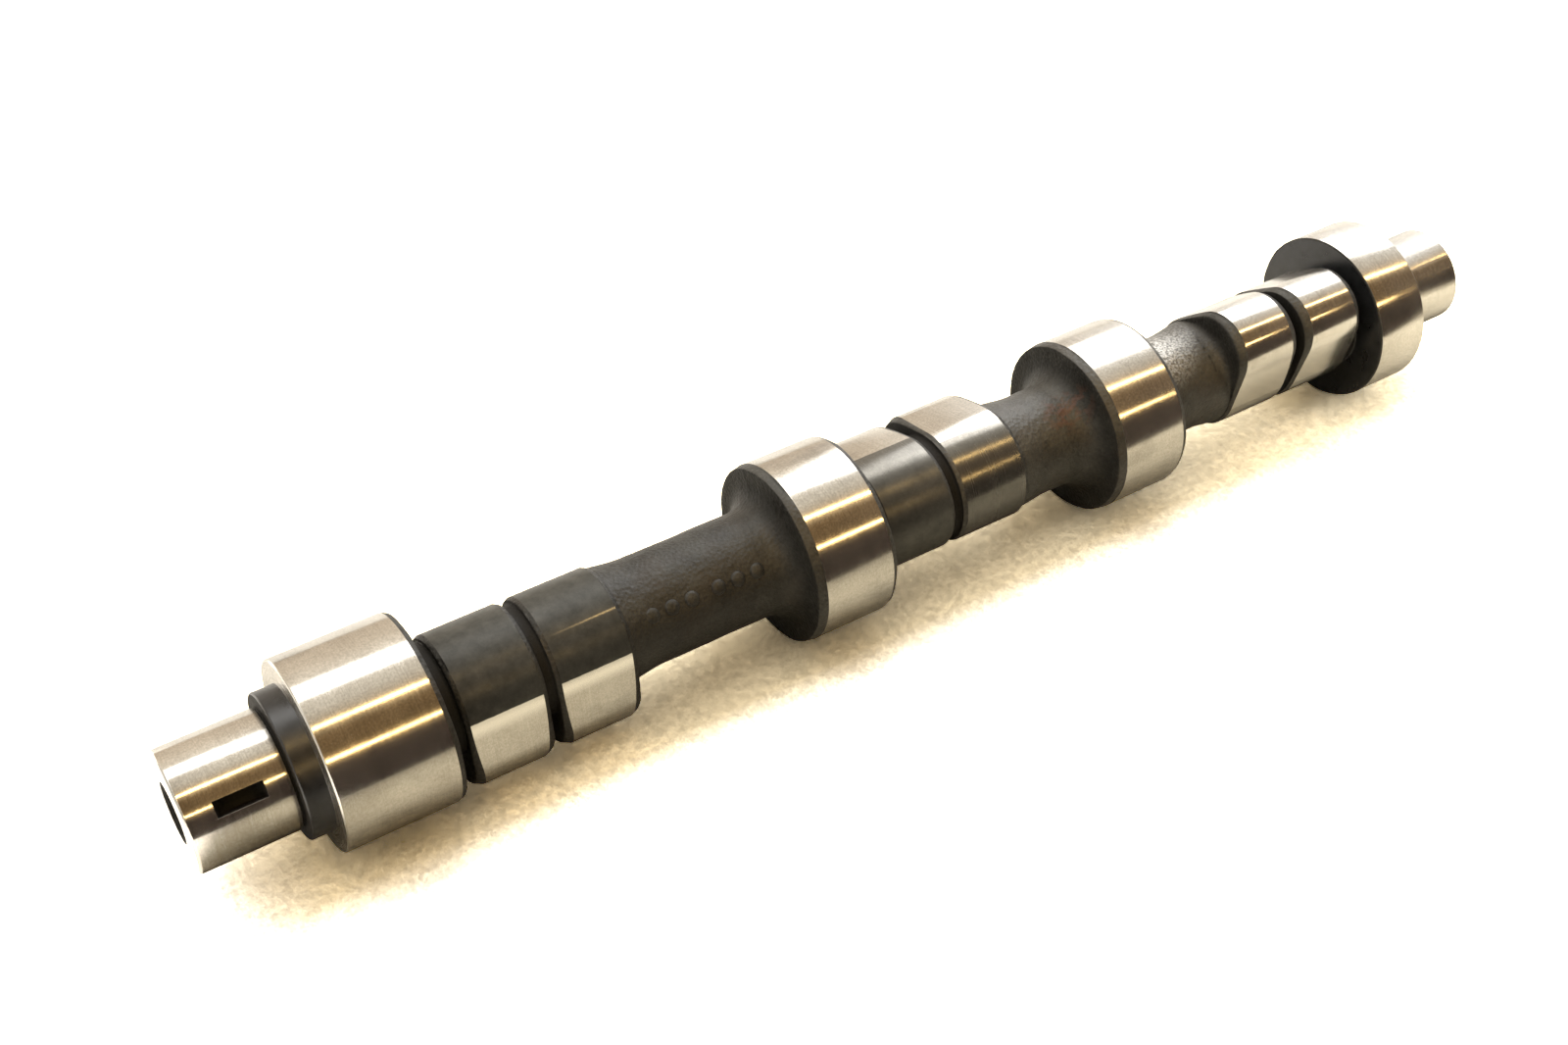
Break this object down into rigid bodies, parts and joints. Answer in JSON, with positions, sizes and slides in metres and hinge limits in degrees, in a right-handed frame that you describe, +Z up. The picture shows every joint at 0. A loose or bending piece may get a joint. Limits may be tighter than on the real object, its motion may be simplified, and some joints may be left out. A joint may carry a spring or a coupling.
{
  "type": "camshaft",
  "caption": "Cast-iron camshaft with ground bearing journals, cam lobes in pairs, a keyed and tapped front nose, and a plain rear spigot.",
  "frame": {"origin": "on the shaft's axis at the middle of the front journal, behind the nose", "axes": "+X along the shaft from the front nose to the rear spigot, +Z up as the shaft lies on its journals, -Y towards the side with the key seat"},
  "size_m": [0.3883, 0.048, 0.048],
  "materials": {
    "cast_iron": "ground bands on a rough cast surface"
  },
  "bodies": {
    "root": {"camshaft": "cast_iron"}
  },
  "joints": []
}
